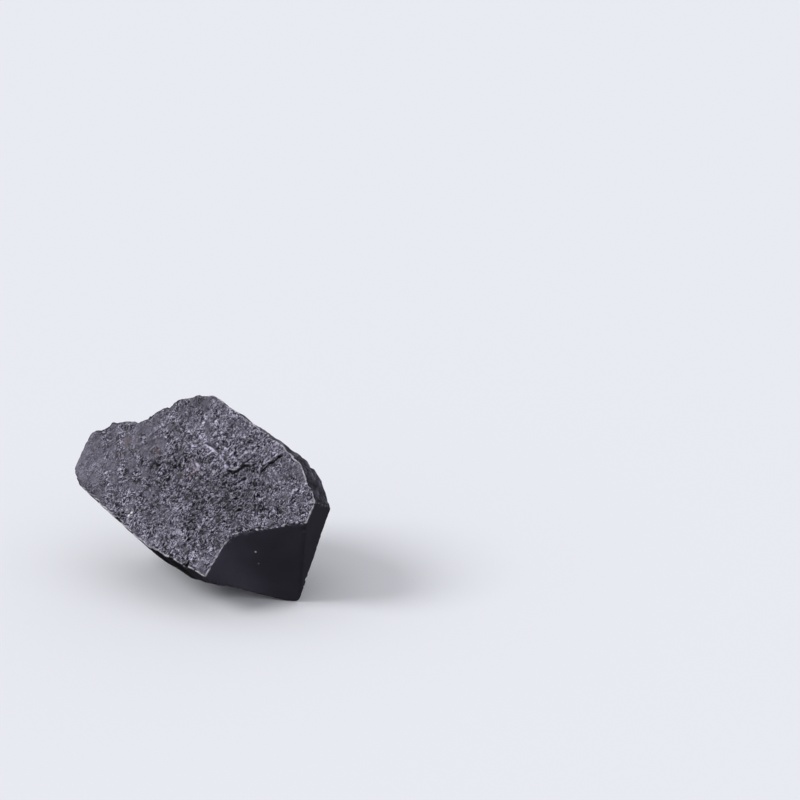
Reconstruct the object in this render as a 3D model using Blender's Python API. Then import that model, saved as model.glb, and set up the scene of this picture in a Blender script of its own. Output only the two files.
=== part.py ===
"""A rough lump of shungite, about 85 mm long, that rests on one flat broken face.

The stone is one solid. A block is cut down by its cleavage faces, each given by the way it
faces and by its distance from one point inside the stone, the heart. Chips that broke out of
an edge leave a hollow between two faces, and ball-shaped breaks leave shallow shell scoops.
The solid is then re-faceted at an even size, and every face gets the relief of its own finish.

Lengths are metres, angles are degrees, +Z is up. The origin is under the middle of the stone,
on the surface that it rests on.
"""
import math

import bmesh
import bpy
import numpy as np
from mathutils import Vector

STONE_NAME = "shungite_stone"

# Driving dimensions.
HEART = Vector((0.0027, -0.0004, 0.0240))
BLOCK_SIDE = 0.20
FACET_SIZE = 0.0020
NEAR_POINTS = 0.0005
LONGEST_SIDE = 0.0836

# Cleavage faces: degrees round from +X, degrees up from level, distance from the heart, finish.
CLEAVAGE_FACES = {
    "crust": (-119.5, 44.5, 0.0109, "crust"),
    "crust_rim": (-150.0, 40.0, 0.0278, "worn"),
    "nose": (-171.0, -25.0, 0.0344, "worn"),
    "under_left": (-152.0, -41.5, 0.0211, "smooth"),
    "under_front": (-135.4, -39.8, 0.0215, "smooth"),
    "belly": (-123.5, -64.5, 0.0214, "smooth"),
    "left_back": (145.0, 0.0, 0.0481, "worn"),
    "back_left": (102.0, 25.0, 0.0380, "rough"),
    "top_back": (94.5, 33.5, 0.0339, "rough"),
    "back_right": (54.0, 30.0, 0.0294, "smooth"),
    "top_strip": (0.8, 65.2, 0.0316, "rough"),
    "side_strip": (30.2, 47.5, 0.0311, "rough"),
    "side_strip_low": (3.0, 30.0, 0.0363, "rough"),
    "right": (-20.5, -12.0, 0.0388, "smooth"),
    "far_right": (26.0, -26.0, 0.0273, "smooth"),
    "back": (84.0, -9.0, 0.0263, "rough"),
    "back_far_right": (43.0, -1.0, 0.0286, "rough"),
    "back_far_left": (133.0, -32.0, 0.0321, "smooth"),
    "back_low": (69.0, -31.0, 0.0249, "smooth"),
    "base": (0.0, -90.0, 0.0240, "flat"),
}

# Chips: the two faces that a broken-out chip leaves, each as direction and distance, how far the
# valley between them is rounded, and their finish. The three ledges climb the back in layers.
CHIPS = {
    "front_scoop": ((-99.0, -18.0, 0.0195), (-28.0, -12.0, 0.0178), 0.0048, "smooth"),
    "upper_ledge": ((50.0, 5.0, 0.0236), (64.0, 60.0, 0.0202), 0.0006, "rough"),
    "middle_ledge": ((57.0, 2.0, 0.0255), (50.0, 64.0, 0.0131), 0.0006, "rough"),
    "lower_ledge": ((49.0, -4.0, 0.0271), (68.0, 66.0, 0.0086), 0.0006, "rough"),
}

# Shell scoops: the way to the middle of the scoop, its distance there, the ball's radius.
SHELL_SCOOPS = {
    "back_shell": (96.0, -14.0, 0.0240, 0.052),
    "belly_shell": (-168.0, -59.2, 0.0166, 0.046),
    "edge_shell": (125.5, 37.5, 0.0372, 0.016),
}

# Relief of each finish, as the height of its lumps, its grain and its ripples.
FINISHES = {
    "crust": {"lumps": 0.00050, "grain": 0.00028, "ripples": 0.0},
    "worn": {"lumps": 0.00050, "grain": 0.00008, "ripples": 0.0},
    "rough": {"lumps": 0.00035, "grain": 0.00022, "ripples": 0.0},
    "smooth": {"lumps": 0.00008, "grain": 0.0, "ripples": 0.00014},
    "flat": {"lumps": 0.0, "grain": 0.0, "ripples": 0.0},
}
LUMP_SIZE = 0.0075
GRAIN_SIZE = 0.0042
RIPPLE_SIZE = 0.0050
RIPPLE_SOURCE = Vector((0.030, -0.030, 0.040))

# Low swells and troughs of the crust: across its slope, up its slope, radius, height.
CRUST_SWELLS = {
    "upper_dome": (-0.004, 0.026, 0.013, 0.0008),
    "right_dome": (0.028, 0.009, 0.009, 0.0005),
    "left_trough": (-0.026, 0.007, 0.007, -0.0007),
    "middle_trough": (-0.010, 0.005, 0.007, -0.0008),
    "lower_trough": (0.012, 0.001, 0.007, -0.0006),
    "lower_swell": (-0.006, -0.012, 0.009, 0.0005),
}

WAVE_COUNT = 28
SHAPE_SEED = 41


def facing(turn, rise):
    """Unit vector that points `turn` degrees round from +X and `rise` degrees up from level."""
    turn, rise = math.radians(turn), math.radians(rise)
    return Vector((math.cos(rise) * math.cos(turn), math.cos(rise) * math.sin(turn), math.sin(rise)))


def clear_scene():
    for thing in list(bpy.data.objects):
        bpy.data.objects.remove(thing, do_unlink=True)


def cut_away(solid, normal, distance):
    """Cut a closed convex bmesh at a plane and keep the side towards the heart."""
    result = bmesh.ops.bisect_plane(
        solid,
        geom=solid.verts[:] + solid.edges[:] + solid.faces[:],
        dist=1e-7,
        plane_co=HEART + normal * distance,
        plane_no=normal,
        clear_outer=True,
    )
    rim = [piece for piece in result["geom_cut"] if isinstance(piece, bmesh.types.BMEdge)]
    if rim:
        bmesh.ops.contextual_create(solid, geom=rim)


def new_object(name, solid):
    bmesh.ops.recalc_face_normals(solid, faces=solid.faces[:])
    mesh = bpy.data.meshes.new(name)
    solid.to_mesh(mesh)
    solid.free()
    thing = bpy.data.objects.new(name, mesh)
    bpy.context.scene.collection.objects.link(thing)
    return thing


def cleaved_block():
    """The block with every cleavage face cut."""
    solid = bmesh.new()
    bmesh.ops.create_cube(solid, size=BLOCK_SIDE)
    bmesh.ops.translate(solid, verts=solid.verts[:], vec=HEART)
    for turn, rise, distance, _finish in CLEAVAGE_FACES.values():
        cut_away(solid, facing(turn, rise), distance)
    return new_object(STONE_NAME, solid)


def hide_cutter(cutter):
    cutter.hide_render = True
    cutter.display_type = "WIRE"
    return cutter


def chip_cutter(name, first, second, valley_radius):
    """A block that lies outside both faces of a chip, with its inner edge rounded."""
    solid = bmesh.new()
    bmesh.ops.create_cube(solid, size=BLOCK_SIDE)
    bmesh.ops.translate(solid, verts=solid.verts[:], vec=HEART)
    normals = [facing(turn, rise) for turn, rise, _distance in (first, second)]
    distances = [first[2], second[2]]
    for normal, distance in zip(normals, distances):
        cut_away(solid, -normal, -distance)

    def in_both(point):
        return all(abs((point - HEART).dot(n) - d) < 1e-6 for n, d in zip(normals, distances))

    valley = [edge for edge in solid.edges if all(in_both(corner.co) for corner in edge.verts)]
    bmesh.ops.bevel(solid, geom=valley, offset=valley_radius, segments=6, profile=0.5, affect="EDGES")
    return hide_cutter(new_object(name, solid))


def scoop_cutter(name, turn, rise, distance, radius):
    """A ball whose surface comes to `distance` from the heart."""
    solid = bmesh.new()
    bmesh.ops.create_icosphere(solid, subdivisions=5, radius=radius)
    centre = HEART + facing(turn, rise) * (distance + radius)
    bmesh.ops.translate(solid, verts=solid.verts[:], vec=centre)
    return hide_cutter(new_object(name, solid))


def cutters():
    made = [chip_cutter(name, *chip[:3]) for name, chip in CHIPS.items()]
    made += [scoop_cutter(name, *scoop) for name, scoop in SHELL_SCOOPS.items()]
    return made


def join_near_points(mesh):
    """Make one of points closer than NEAR_POINTS, and drop the faces that this closes up."""
    solid = bmesh.new()
    solid.from_mesh(mesh)
    bmesh.ops.remove_doubles(solid, verts=solid.verts[:], dist=NEAR_POINTS)
    bmesh.ops.dissolve_degenerate(solid, edges=solid.edges[:], dist=NEAR_POINTS / 10.0)
    bmesh.ops.recalc_face_normals(solid, faces=solid.faces[:])
    solid.to_mesh(mesh)
    solid.free()


def cut_and_refacet(stone, tools):
    """Take the cutters out of the stone and lay even facets over what is left."""
    for tool in tools:
        cut = stone.modifiers.new(tool.name, "BOOLEAN")
        cut.operation = "DIFFERENCE"
        cut.solver = "EXACT"
        cut.object = tool
    remesh = stone.modifiers.new("even_facets", "REMESH")
    remesh.mode = "SHARP"
    remesh.octree_depth = 6
    remesh.scale = LONGEST_SIDE / (FACET_SIZE * 2 ** remesh.octree_depth)
    remesh.sharpness = 1.0
    remesh.use_remove_disconnected = True
    evaluated = stone.evaluated_get(bpy.context.evaluated_depsgraph_get())
    mesh = bpy.data.meshes.new_from_object(evaluated)
    stone.modifiers.clear()
    stone.data = mesh
    join_near_points(mesh)


def wave_field(points, size, seed):
    """Random lumps about `size` apart: the sum of plane waves in random directions, about -1 to 1."""
    random = np.random.default_rng(seed)
    directions = random.normal(size=(WAVE_COUNT, 3))
    directions /= np.linalg.norm(directions, axis=1)[:, None]
    frequencies = 2.0 * math.pi / (size * random.uniform(0.75, 1.35, WAVE_COUNT))
    phases = random.uniform(0.0, 2.0 * math.pi, WAVE_COUNT)
    waves = np.sin(points @ (directions * frequencies[:, None]).T + phases)
    return waves.sum(axis=1) / math.sqrt(2.0 * WAVE_COUNT)


def crust_axes():
    """Across the crust's slope, level, and up its slope."""
    turn, rise = CLEAVAGE_FACES["crust"][:2]
    out = facing(turn, rise)
    across = Vector((0.0, 0.0, 1.0)).cross(out).normalized()
    return np.array(across), np.array(out.cross(across))


def crust_swell(points):
    """Sum of the round swells of the crust, each a bell curve on its slope."""
    across, upward = crust_axes()
    offsets = points - np.array(HEART)
    swell = np.zeros(len(points))
    for u, v, radius, height in CRUST_SWELLS.values():
        squares = (offsets @ across - u) ** 2 + (offsets @ upward - v) ** 2
        swell += height * np.exp(-squares / (2.0 * radius ** 2))
    return swell


def ripples(points):
    """Shell-shaped ripples round the point where the blow fell."""
    reach = np.linalg.norm(points - np.array(RIPPLE_SOURCE), axis=1)
    return np.sin(2.0 * math.pi * reach / RIPPLE_SIZE)


def face_table():
    """Every face as normal, distance and finish, the faces of the chips among them."""
    rows = [(facing(t, r), d, finish) for t, r, d, finish in CLEAVAGE_FACES.values()]
    for first, second, _radius, finish in CHIPS.values():
        rows += [(facing(t, r), d, finish) for t, r, d in (first, second)]
    return rows


def weather(mesh):
    """Push each point out or in along its own face by the relief of that face's finish."""
    points = np.array([corner.co for corner in mesh.vertices])
    offsets = points - np.array(HEART)
    rows = face_table()
    normals = np.array([row[0] for row in rows])
    distances = np.array([row[1] for row in rows])
    nearest = np.abs(offsets @ normals.T - distances).argmin(axis=1)
    fields = {
        "lumps": wave_field(points, LUMP_SIZE, SHAPE_SEED),
        "grain": wave_field(points, GRAIN_SIZE, SHAPE_SEED + 1),
        "ripples": ripples(points),
    }
    relief = np.zeros(len(points))
    for name, field in fields.items():
        heights = np.array([FINISHES[row[2]][name] for row in rows])
        relief += heights[nearest] * field
    relief += np.where(nearest == 0, crust_swell(points), 0.0)
    moved = points + normals[nearest] * relief[:, None]
    on_base = np.abs(points[:, 2]) < 1e-5
    moved[on_base] = points[on_base]
    moved[on_base, 2] = 0.0
    moved[:, 2] = np.maximum(moved[:, 2], 0.0)
    mesh.vertices.foreach_set("co", moved.astype(np.float32).ravel())
    mesh.update()


def shungite_material():
    material = bpy.data.materials.new("rough_shungite")
    material.use_nodes = True
    shader = material.node_tree.nodes["Principled BSDF"]
    shader.inputs["Base Color"].default_value = (0.035, 0.034, 0.040, 1.0)
    shader.inputs["Roughness"].default_value = 0.55
    shader.inputs["Metallic"].default_value = 0.0
    return material


def build_stone():
    clear_scene()
    stone = cleaved_block()
    tools = cutters()
    cut_and_refacet(stone, tools)
    weather(stone.data)
    stone.data.materials.clear()
    stone.data.materials.append(shungite_material())
    for tool in tools:
        bpy.data.objects.remove(tool, do_unlink=True)


build_stone()
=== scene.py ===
"""Shungite stone: the finished surface, its material and a plain pale stage.

The stone is one closed surface. It has the same cleavage faces, chips and shell scoops as the
solid, at about four tenths of a millimetre, with the relief of each finish worked out on them.
Lengths are metres and angles are degrees, in the frame of the solid.
"""
import math

import bpy
import numpy as np
from bpy.props import FloatProperty, FloatVectorProperty, PointerProperty
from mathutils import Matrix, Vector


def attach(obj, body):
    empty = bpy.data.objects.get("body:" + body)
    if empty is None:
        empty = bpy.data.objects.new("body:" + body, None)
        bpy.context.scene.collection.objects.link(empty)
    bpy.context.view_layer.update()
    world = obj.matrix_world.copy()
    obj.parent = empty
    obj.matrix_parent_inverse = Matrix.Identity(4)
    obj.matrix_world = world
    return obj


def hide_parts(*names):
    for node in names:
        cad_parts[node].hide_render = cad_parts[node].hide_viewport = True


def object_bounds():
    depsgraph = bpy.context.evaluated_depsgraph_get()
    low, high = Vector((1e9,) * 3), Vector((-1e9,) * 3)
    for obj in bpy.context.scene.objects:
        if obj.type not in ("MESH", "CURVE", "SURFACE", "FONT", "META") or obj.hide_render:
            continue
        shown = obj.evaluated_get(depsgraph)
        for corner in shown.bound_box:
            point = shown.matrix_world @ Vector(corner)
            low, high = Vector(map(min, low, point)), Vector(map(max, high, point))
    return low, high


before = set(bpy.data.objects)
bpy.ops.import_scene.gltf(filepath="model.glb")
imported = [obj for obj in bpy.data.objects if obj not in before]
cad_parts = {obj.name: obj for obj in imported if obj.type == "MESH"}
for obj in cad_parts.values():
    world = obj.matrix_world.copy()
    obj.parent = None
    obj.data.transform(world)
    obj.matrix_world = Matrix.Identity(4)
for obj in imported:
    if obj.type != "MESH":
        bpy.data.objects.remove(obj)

bl_info = {
    "name": "Shungite stone",
    "version": (1, 0, 0),
    "blender": (4, 5, 0),
    "location": "3D View > Sidebar > Stone",
    "description": "A rough lump of shungite with a grainy crust and dark breaks",
    "category": "Add Mesh",
}

CAD_NODE = "shungite_stone"
CAD_BOX = [list(corner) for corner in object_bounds()]
# In metres: a distance beyond every face, and a tenth of a millimetre.
FAR, TENTH = 1.0, 1e-4

# The stone's faces, as in the solid: degrees round from +X, degrees up, distance from the heart.
HEART = np.array([0.0027, -0.0004, 0.024])
CLEAVAGE_FACES = {
    "crust": (-119.5, 44.5, 0.0109, "crust"),
    "crust_rim": (-150.0, 40.0, 0.0278, "rim"),
    "nose": (-171.0, -25.0, 0.0344, "worn"),
    "under_left": (-152.0, -41.5, 0.0211, "smooth"),
    "under_front": (-135.4, -39.8, 0.0215, "smooth"),
    "belly": (-123.5, -64.5, 0.0214, "smooth"),
    "left_back": (145.0, 0.0, 0.0481, "worn"),
    "back_left": (102.0, 25.0, 0.038, "rough"),
    "top_back": (94.5, 33.5, 0.0339, "rough"),
    "back_right": (54.0, 30.0, 0.0294, "smooth"),
    "top_strip": (0.8, 65.2, 0.0316, "strip"),
    "side_strip": (30.2, 47.5, 0.0311, "strip"),
    "side_strip_low": (3.0, 30.0, 0.0363, "strip"),
    "right": (-20.5, -12.0, 0.0388, "plain"),
    "far_right": (26.0, -26.0, 0.0273, "smooth"),
    "back": (84.0, -9.0, 0.0263, "rough"),
    "back_far_right": (43.0, -1.0, 0.0286, "rough"),
    "back_far_left": (133.0, -32.0, 0.0321, "smooth"),
    "back_low": (69.0, -31.0, 0.0249, "smooth"),
    "base": (0.0, -90.0, 0.024, "flat"),
}
# Chips: two faces, how far the valley between them is rounded, and the finish.
CHIPS = {
    "front_scoop": ((-99.0, -18.0, 0.0195), (-28.0, -12.0, 0.0178), 0.0055, "plain"),
    "upper_ledge": ((50.0, 5.0, 0.0236), (64.0, 60.0, 0.0202), 0.001, "rough"),
    "middle_ledge": ((57.0, 2.0, 0.0255), (50.0, 64.0, 0.0131), 0.001, "rough"),
    "lower_ledge": ((49.0, -4.0, 0.0271), (68.0, 66.0, 0.0086), 0.001, "rough"),
}
# Shell scoops: the way to the middle of the scoop, its distance there, the ball's radius.
SHELL_SCOOPS = {
    "back_shell": (96.0, -14.0, 0.024, 0.052, "smooth"),
    "belly_shell": (-168.0, -59.2, 0.0166, 0.046, "smooth"),
    "edge_shell": (125.5, 37.5, 0.0372, 0.016, "rough"),
}
# The finishes: height of their lumps and of their coarse grain.
FINISHES = {
    "crust": (0.0005, 0.00032), "rim": (0.0005, 0.0001), "worn": (0.0003, 0.0),
    "rough": (0.00035, 0.00022), "strip": (0.0003, 0.0), "smooth": (0.00012, 0.0),
    "plain": (0.00006, 0.0), "flat": (0.0, 0.0),
}
FINISH_ORDER = tuple(FINISHES)

# The lattice: a box round the stone in the crust's own directions (across, up its slope, out), and
# the flat core that the ways start from: its middle and its share of the box.
LATTICE_CELLS = (212, 138, 56)
BOX_MIDDLE = np.array([-0.002, 0.004, -0.00805])
BOX_HALF = np.array([0.046, 0.03, 0.01895])
CORE_MIDDLE = np.array([-0.004, 0.002, -0.005])
CORE_SHARE = np.array([0.34, 0.26, 0.0])
PASSES = 5
# Between these shares of its height the box is drawn to the crust's outline.
OUTLINE_SPAN = (-0.9, 0.6)
# How far the box's rim moves at most in one pass, and in all, to follow the chipped edge, and
# the share of what is left that it moves.
RIM_STEP, RIM_CHANGE, RIM_SHARE = 0.0005, 0.0016, 0.6
# The least bend of an edge, and the cosines of turn where an edge begins and where it is full.
LEAST_BEND, EDGE_TURN = 0.15, (0.97, 0.75)

SHAPE_SEED = 41
WAVE_BAND, WORM_BAND = (0.75, 1.35), (0.82, 1.2)
# Random waves: strength, size (the first three in sizes of the grain), which set, how many.
WAVES = {
    "worms": (1.0, 1.0, 3, 72), "pits": (1.0, 1.4, 2, 48),
    "specks": (1.0, 1.25, 4, 48), "lumps": (1.0, 0.0075, 0, 28),
    "coarse_grain": (1.0, 0.0042, 1, 28), "ruggedness": (0.85, 0.0045, 7, 28),
    "crooked_across": (0.00016, 0.0016, 13, 40), "crooked_up": (0.00016, 0.0016, 14, 40),
    "long_breaks": (0.7, 0.0034, 15, 28), "short_breaks": (0.8, 0.0014, 17, 40),
    "rim_small": (0.35, 0.003, 5, 40), "rim_smaller": (0.25, 0.0016, 6, 40),
    "lobes": (1.0, 0.013, 8, 28), "worn_small": (0.5, 0.0021, 5, 40),
    "terraces": (2.6, 0.011, 9, 28), "rough_small": (1.0, 0.0026, 6, 40),
    "ribs": (1.3, 0.0025, 10, 40), "strip_small": (0.7, 0.0015, 6, 40),
    "swells": (0.35, 0.003, 16, 40), "chips": (1.0, 0.0019, 11, 40),
    "chipped_stretches": (1.5, 0.008, 12, 28), "ragged": (1.0, 0.0015, 18, 40),
}
SMALL_HEIGHTS = {
    "rim": 0.00012, "worn": 0.0002, "rough": 0.0002, "strip": 0.00018, "smooth": 0.00016,
}
LOBE_HEIGHT, LOBE_MEAN = 0.0011, 0.4
TERRACE_HEIGHT, TERRACE_FACE = 0.00042, (0.62, 1.0)
# The ridges of hackly breaks are painted lighter than their hollows, as painted shading.
RIDGE_LIGHT, RIDGE_WIDTH = 0.8, 0.3
RIB_STRETCH = np.array([0.25, 0.25, 1.0])
STRIP_SPAN, STRIP_LIGHT = (0.006, 0.024), (0.2, 0.8)
RIPPLE_SIZE, RIPPLE_SOURCE = 0.005, np.array([0.03, -0.03, 0.04])
# Ripples and lumps of the shell-like breaks are painted lighter on their crests and darker in their
# troughs, as painted shading.
RIPPLE_LIGHT, LUMP_LIGHT = 0.25, 0.45

# The crust's grain: how it slants and is drawn out, how strong its parts are, where pits and
# specks begin and how thick they are all over, its height and range, and how it stands out.
# The grain gives the crust both height and colour, so the colour holds painted shade in the pits
# and hollows and painted highlights on the specks and tops, over the grain's own tone.
GRAIN_SLANT, GRAIN_DRAWN = 0.55, 0.28
WORM_STRENGTH, PIT_STRENGTH, SPECK_STRENGTH = 0.55, 5.5, 6.0
PIT_START, SPECK_START = 0.45, 0.68
PITTED_ALL_OVER, SPECKY_ALL_OVER = 0.12, 0.2
GRAIN_RISE, GRAIN_RANGE = 0.6, (-2.0, 1.5)
LEAST_RUGGED, MEAN_RUGGED = 0.25, 1.02
LEFT_CALM, CALM_SPAN, CALM_SLANT = 0.68, (-0.045, -0.023), 0.35
# Beside a broken layer's line: its step, groove and lip, where the grain is calmed and how much,
# and how faint and strong its breaks make it.
STEP_HALF = 0.0002
GROOVE_PLACE, GROOVE_WIDTH, GROOVE_DEPTH = -0.00036, 0.00034, 0.7
LIP_PLACE, LIP_WIDTH = 0.00026, 0.00032
CALM_WIDTH, CALM_FROM, STEP_CALM = 0.0008, 5.0, 0.65
LINE_FADE, BREAK_RANGE = 0.15, (0.2, 1.7)

# Chips along the edges: where they begin, how deep they are all over, high up on the crust and on
# each kind of edge, and how far they reach. The front scoop's edge has teeth too.
CHIP_START, CHIPPED_ALL_OVER, HIGH_CHIPS, CHIP_WIDTH = 0.02, 0.35, 0.22, 0.001
LOW_SPAN, GROUND_SPAN = (0.012, 0.0), (0.0015, 0.004)
CLEAN_CHIPS, SCOOP_CHIPS = 0.3, 1.8
TEETH, TEETH_START = 0.6, 0.1
# How far to the right that edge goes, for its chips and its looks, and how the far rim faces.
CHIPPED_SCOOP_END, SCOOP_END = 0.9, 0.6
# Where the crust's edge turns away at its far rim it gets painted shade, a dark line, instead of a
# rubbed edge.
FAR_RIM = (-0.4, -0.8)
# How much each kind of edge is rubbed and brightened by a painted highlight, and the band's width
# as a share of the edge band width.
RUB_AND_HIGHLIGHT = {
    "hackly": 0.58, "clean": 0.3, "other": 0.42, "crust_hackly": 1.35, "crust": 2.4, "scoop": 0.42,
}
RUB_AND_HIGHLIGHT_WIDTH = {"crust": 0.48, "scoop": 0.9, "by_crust": 0.2}
# Where the crust along the front scoop is torn: extra rubbing and painted highlight in specks,
# where it begins, and the tear's depth and reach.
TORN_RUB_AND_HIGHLIGHT, TORN_START, TORN_DEPTH, TORN_REACH = 3.5, 0.25, 0.0005, 0.0012

# The material: the worm lines' stretch along the grain, scale and share, other scales, how much
# painted light and shade the fine grain has and the most light there is, and scale and spread of
# each tone's drift.
WORM_STRETCH, WORM_SCALE, WORM_LINE_SHARE = (1.5, 1.0, 1.0), 0.62, 0.6
BREAK_GRAIN_SCALE, WORN_SCALE = 1500.0, 420.0
FINE_LIGHT, ROUGH_FINE_LIGHT, MOST_LIGHT = 1.2, 0.35, 2.4
CRUST_DRIFT, ROUGH_DRIFT, BREAK_DRIFT = (150.0, 0.3), (130.0, 0.3), (45.0, 0.12)
# Roughness of the crust (hollows, tops) and of the breaks, and what the rough ones add.
CRUST_ROUGHNESS, BREAK_ROUGHNESS, ROUGHER = (0.66, 0.46), 0.5, 0.34
BUMP_HEIGHT, BREAK_BUMP, ROUGH_BUMP = 0.0003, 0.04, 0.6
# The sky turns from the light below to the light above between these heights.
LEVEL_SPAN, SKY_COLOUR = (-0.1, 0.1), (0.975, 0.98, 1.0, 1.0)

# Patches are given by across, up and radius in tenths of a millimetre, and one more number.
# Low swells and troughs of the crust: height in metres.
CRUST_SWELLS = (
    (-40, 260, 130, 0.0008), (280, 90, 90, 0.0005), (-260, 70, 70, -0.0007),
    (-100, 50, 70, -0.0008), (120, 10, 70, -0.0006), (-60, -120, 90, 0.0005),
)
# Thin broken layers on the crust: height and reach, how bright the painted highlight on the lip
# and how dark the painted shade in the groove are, as powers of two, and the line (across, up).
# The raised side is on the left of the line.
CRUST_STEPS = {
    "plate_edge": (0.0004, 0.0022, 3.0, 2.0, (
        (74, 94), (88, 103), (87, 117), (72, 132), (45, 150), (12, 166), (-24, 176), (-42, 165),
    )),
    "plate_foot": (0.00045, 0.002, 1.8, 6.0, (
        (85, 106), (112, 109), (125, 122), (142, 136), (158, 138), (171, 133),
    )),
    "upper_notch": (0.00045, 0.0014, 2.6, 3.4, (
        (120, 126), (136, 140), (148, 162), (156, 178), (168, 182),
    )),
    "zigzag": (0.0006, 0.0016, 1.7, 7.0, (
        (204, 112), (208, 130), (217, 147), (222, 158), (235, 165), (238, 178), (250, 188),
        (256, 200),
    )),
    "streak": (0.0004, 0.001, 4.0, 1.0, (
        (-9, 98), (-24, 106), (-42, 119),
    )),
    "long_rib": (0.00035, 0.0009, 2.2, 1.8, (
        (-12, 124), (1, 140), (18, 160),
    )),
    "short_rib": (0.00035, 0.0009, 2.2, 1.8, (
        (1, 118), (9, 130), (16, 140),
    )),
    "upper_fold": (0.0003, 0.003, 0.7, 1.0, (
        (-262, 150), (-215, 205), (-150, 262), (-105, 290),
    )),
    "left_fold": (0.00025, 0.0026, 0.6, 1.0, (
        (-300, 105), (-252, 150), (-190, 178),
    )),
}
# Where the grain stands out more or less: change of its contrast.
RUGGED_PATCHES = (
    (-264, 143, 75, -0.25), (-380, 140, 60, -0.2), (-100, 300, 50, -0.3), (-20, 220, 70, -0.2),
    (-240, 200, 80, -0.25), (-200, -40, 80, -0.15), (31, 151, 60, 0.45), (171, 140, 45, 0.25),
    (50, 10, 80, 0.15), (47, -160, 60, -0.05), (127, -212, 45, 0.05), (155, -232, 30, -0.6),
    (300, 156, 50, -0.3), (240, 10, 50, 0.2),
)
# Where bright specks, which stand in for glints as painted highlights, are thick: how thick.
SPECKY_PATCHES = (
    (-66, 228, 85, 0.65), (60, 180, 60, 1.00), (-20, 110, 50, 0.6), (120, -205, 45, 0.7),
    (-330, 122, 25, 0.6), (-250, -105, 20, 0.6),
)
# Where dark holes lie thick: how much deeper, and so how much darker with painted shade.
PITTED_PATCHES = (
    (-151, 58, 44, 2.0), (-256, 45, 24, 1.3), (-3, 33, 30, 0.9), (150, 7, 30, 1.9),
    (253, 27, 32, 1.4), (148, 112, 28, 1.2), (54, -140, 45, 0.7), (-258, -111, 18, 1.0),
    (127, -220, 30, 0.5),
)
# Notches in the crust's lower left edge: height in metres.
NOTCHES = (
    (-1, -205, 5, -0.0006), (24, -213, 4.5, -0.0011), (83, -224, 6, -0.0014),
    (88, -215, 3.5, -0.0007), (104, -226, 3, -0.0007), (120, -233, 3.5, -0.0006),
)
# How much darker a notch is, as a power of two for each metre of its height.
NOTCH_DARKNESS = 3000.0
# Slow changes of tone over the crust: change. They are partly the crust's own tone and partly
# painted shading of its swells, lighter at the top and darker in the middle.
TONE_PATCHES = (
    (0, 240, 110, 0.12), (-130, 60, 80, -0.2), (60, 20, 85, -0.27), (180, 100, 50, -0.22),
    (165, -20, 50, -0.22), (-370, 70, 70, 0.24), (-240, 200, 60, 0.18), (-200, -110, 80, -0.04),
    (60, -180, 50, -0.04), (130, -210, 40, 0.42), (290, 50, 65, -0.09), (300, 160, 45, 0.1),
)
# The same for the front break, as painted light and shade: paler and bluer towards its left, and
# darker lower down on the left.
BREAK_LIGHT_AND_SHADE = (
    (172, -185, 52, 1.7), (290, -40, 90, 0.15), (20, -270, 70, -0.7), (-150, -190, 80, -0.6),
)
# Faint rusty stains of the crust: strength.
STAINS = (
    (-323, 122, 24, 1.0), (-196, 127, 16, 0.8), (-43, 76, 22, 0.9),
)
# Pale specks: where, radius, strength.
PALE_SPECKS = (
    ((-0.02161, -0.00461, 0.02401), 0.0007, 1.0),
    ((-0.02073, -0.00403, 0.02456), 0.00065, 1.0),
    ((-0.02238, -0.00271, 0.02507), 0.0006, 0.5),
    ((0.01986, -0.02215, 0.01875), 0.00046, 0.8),
    ((0.02029, -0.02082, 0.01451), 0.0004, 0.25),
)


def unit(turn, rise):
    """Unit vector `turn` degrees round from +X and `rise` degrees up from level."""
    turn, rise = math.radians(turn), math.radians(rise)
    level = math.cos(rise)
    return np.array([level * math.cos(turn), level * math.sin(turn), math.sin(rise)])


def crust_directions():
    """Rows: across the crust's slope (level), up its slope, and out of it."""
    out = unit(*CLEAVAGE_FACES["crust"][:2])
    across = np.cross([0.0, 0.0, 1.0], out)
    across /= np.linalg.norm(across)
    return np.array([across, np.cross(out, across), out])


CRUST_FRAME = crust_directions()
# The way along which the crust's grain runs.
GRAIN_WAY = (CRUST_FRAME[1] + GRAIN_SLANT * CRUST_FRAME[0]) / math.hypot(1.0, GRAIN_SLANT)


def crust_place(points):
    """Where each point lies in the crust's own directions: across its slope and up it."""
    offsets = points - HEART
    return offsets @ CRUST_FRAME[0], offsets @ CRUST_FRAME[1]


def waves(points, name, scale=1.0, band=WAVE_BAND):
    """The lumps of one row of WAVES: the sum of plane sine waves in random directions, with
    wavelengths within `band` of the row's size times `scale`. At strength 1 the spread is one
    half."""
    strength, size, which, count = WAVES[name]
    random = np.random.default_rng(SHAPE_SEED + which)
    directions = random.normal(size=(count, 3))
    directions /= np.linalg.norm(directions, axis=1)[:, None]
    frequencies = 2.0 * math.pi / (scale * size * random.uniform(*band, count))
    phases = random.uniform(0.0, 2.0 * math.pi, count)
    total = np.sin(points @ (directions * frequencies[:, None]).T + phases).sum(axis=1)
    return strength * (total / math.sqrt(2.0 * count))


def smooth_step(low, high, value):
    """0 below `low`, 1 above `high`, and 3t^2 - 2t^3 between them."""
    t = np.clip((value - low) / (high - low), 0.0, 1.0)
    return t * t * (3.0 - 2.0 * t)


def bell(value, width):
    """exp(-(value / width)^2)."""
    return np.exp(-(value / width) ** 2)


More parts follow.
